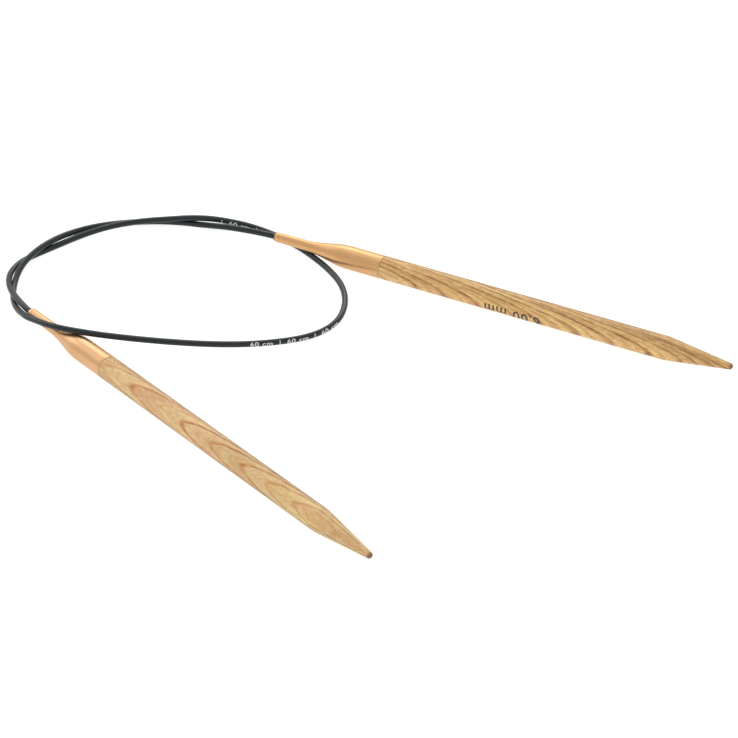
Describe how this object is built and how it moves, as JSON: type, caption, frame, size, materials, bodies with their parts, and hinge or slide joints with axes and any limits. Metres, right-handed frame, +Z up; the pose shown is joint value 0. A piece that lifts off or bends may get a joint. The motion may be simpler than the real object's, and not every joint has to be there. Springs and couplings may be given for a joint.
{
  "type": "circular knitting needle",
  "caption": "Circular knitting needle lying coiled: tapered wooden tips in flared gold-toned metal ferrules, joined by a thin dark flexible plastic cable.",
  "frame": {"origin": "on the table plane, in the middle of the coiled object's outline", "axes": "+Z up from the table, +X along the longest side of the outline, +Y away from the tips' end"},
  "size_m": [0.1804, 0.1371, 0.0073],
  "materials": {
    "wood_pale": "waxed, satin, pale straw with orange-brown arched growth rings",
    "wood_warm": "waxed, satin, warm tan with fine brown growth rings",
    "ferrule_metal": "gold anodised, satin polished",
    "crimp_metal": "plain, hidden inside the ferrule",
    "cable_plastic": "smooth charcoal nylon, semi-gloss"
  },
  "bodies": {
    "needle_left": {"wooden_tip_left": "wood_pale", "ferrule_left": "ferrule_metal", "cable_crimp_left": "crimp_metal", "cable_segment_01": "cable_plastic"},
    "cable_02": {"cable_segment_02": "cable_plastic"},
    "cable_03": {"cable_segment_03": "cable_plastic"},
    "cable_04": {"cable_segment_04": "cable_plastic"},
    "cable_05": {"cable_segment_05": "cable_plastic"},
    "cable_06": {"cable_segment_06": "cable_plastic"},
    "cable_07": {"cable_segment_07": "cable_plastic"},
    "cable_08": {"cable_segment_08": "cable_plastic"},
    "cable_09": {"cable_segment_09": "cable_plastic"},
    "cable_10": {"cable_segment_10": "cable_plastic"},
    "cable_11": {"cable_segment_11": "cable_plastic"},
    "cable_12": {"cable_segment_12": "cable_plastic"},
    "cable_13": {"cable_segment_13": "cable_plastic"},
    "cable_14": {"cable_segment_14": "cable_plastic"},
    "needle_right": {"wooden_tip_right": "wood_warm", "ferrule_right": "ferrule_metal", "cable_crimp_right": "crimp_metal", "cable_segment_15": "cable_plastic"}
  },
  "joints": [
    {"name": "cable_bend_01_level", "type": "hinge", "parent": "needle_left", "child": "cable_02", "pos_m": [-0.08662, 0.03104, 0.00279], "axis": [-0.0289, 0.0551, 0.9981], "range_deg": [-10, 50], "stiffness_Nm_per_rad": 0.003, "deforming": ["cable_segment_01", "cable_segment_02"]},
    {"name": "cable_bend_02_upright", "type": "hinge", "parent": "cable_02", "child": "cable_03", "pos_m": [-0.08371, 0.05273, 0.00084], "axis": [0.6718, -0.7407, 0], "range_deg": [-35, 35], "stiffness_Nm_per_rad": 0.003, "deforming": ["cable_segment_03"]},
    {"name": "cable_bend_03_level", "type": "hinge", "parent": "cable_03", "child": "cable_04", "pos_m": [-0.06292, 0.06443, 0.00219], "axis": [-0.0381, -0.011, 0.9992], "range_deg": [-10, 50], "stiffness_Nm_per_rad": 0.003, "deforming": ["cable_segment_04"]},
    {"name": "cable_bend_04_upright", "type": "hinge", "parent": "cable_04", "child": "cable_05", "pos_m": [-0.03906, 0.06716, 0.00207], "axis": [0.0055, 1, 0], "range_deg": [-35, 35], "stiffness_Nm_per_rad": 0.003, "deforming": ["cable_segment_05"]},
    {"name": "cable_bend_05_level", "type": "hinge", "parent": "cable_05", "child": "cable_06", "pos_m": [-0.01775, 0.05755, 0.0008], "axis": [0.0009, -0.0009, 1], "range_deg": [-10, 50], "stiffness_Nm_per_rad": 0.003, "deforming": ["cable_segment_06"]},
    {"name": "cable_bend_06_upright", "type": "hinge", "parent": "cable_06", "child": "cable_07", "pos_m": [-0.00471, 0.03759, 0.0008], "axis": [-0.9722, -0.234, 0], "range_deg": [-35, 35], "stiffness_Nm_per_rad": 0.003, "deforming": ["cable_segment_07"]},
    {"name": "cable_bend_07_level", "type": "hinge", "parent": "cable_07", "child": "cable_08", "pos_m": [-0.01308, 0.01701, 0.00095], "axis": [0.0431, 0.024, 0.9988], "range_deg": [-10, 50], "stiffness_Nm_per_rad": 0.003, "deforming": ["cable_segment_08"]},
    {"name": "cable_bend_08_upright", "type": "hinge", "parent": "cable_08", "child": "cable_09", "pos_m": [-0.03622, 0.01111, 0.0029], "axis": [0.0943, -0.9955, 0], "range_deg": [-35, 35], "stiffness_Nm_per_rad": 0.003, "deforming": ["cable_segment_09"]},
    {"name": "cable_bend_09_level", "type": "hinge", "parent": "cable_09", "child": "cable_10", "pos_m": [-0.06012, 0.01036, 0.00575], "axis": [0.1202, -0.0042, 0.9927], "range_deg": [-10, 50], "stiffness_Nm_per_rad": 0.003, "deforming": ["cable_segment_10"]},
    {"name": "cable_bend_10_upright", "type": "hinge", "parent": "cable_10", "child": "cable_11", "pos_m": [-0.08125, 0.01962, 0.00426], "axis": [0.7313, 0.682, 0], "range_deg": [-35, 35], "stiffness_Nm_per_rad": 0.003, "deforming": ["cable_segment_11"]},
    {"name": "cable_bend_11_level", "type": "hinge", "parent": "cable_11", "child": "cable_12", "pos_m": [-0.08772, 0.04168, 0.00135], "axis": [-0.0231, -0.1451, 0.9891], "range_deg": [-10, 50], "stiffness_Nm_per_rad": 0.003, "deforming": ["cable_segment_12"]},
    {"name": "cable_bend_12_upright", "type": "hinge", "parent": "cable_12", "child": "cable_13", "pos_m": [-0.07507, 0.0615, 0.00168], "axis": [-0.6258, 0.78, 0], "range_deg": [-35, 35], "stiffness_Nm_per_rad": 0.003, "deforming": ["cable_segment_13"]},
    {"name": "cable_bend_13_level", "type": "hinge", "parent": "cable_13", "child": "cable_14", "pos_m": [-0.0524, 0.06779, 0.00082], "axis": [0.0044, -0.0001, 1], "range_deg": [-10, 50], "stiffness_Nm_per_rad": 0.003, "deforming": ["cable_segment_14"]},
    {"name": "cable_bend_14_upright", "type": "hinge", "parent": "cable_14", "child": "needle_right", "pos_m": [-0.02956, 0.06122, 0.00245], "axis": [-0.4267, -0.9044, 0], "range_deg": [-35, 35], "stiffness_Nm_per_rad": 0.003, "deforming": ["cable_segment_15"]}
  ]
}
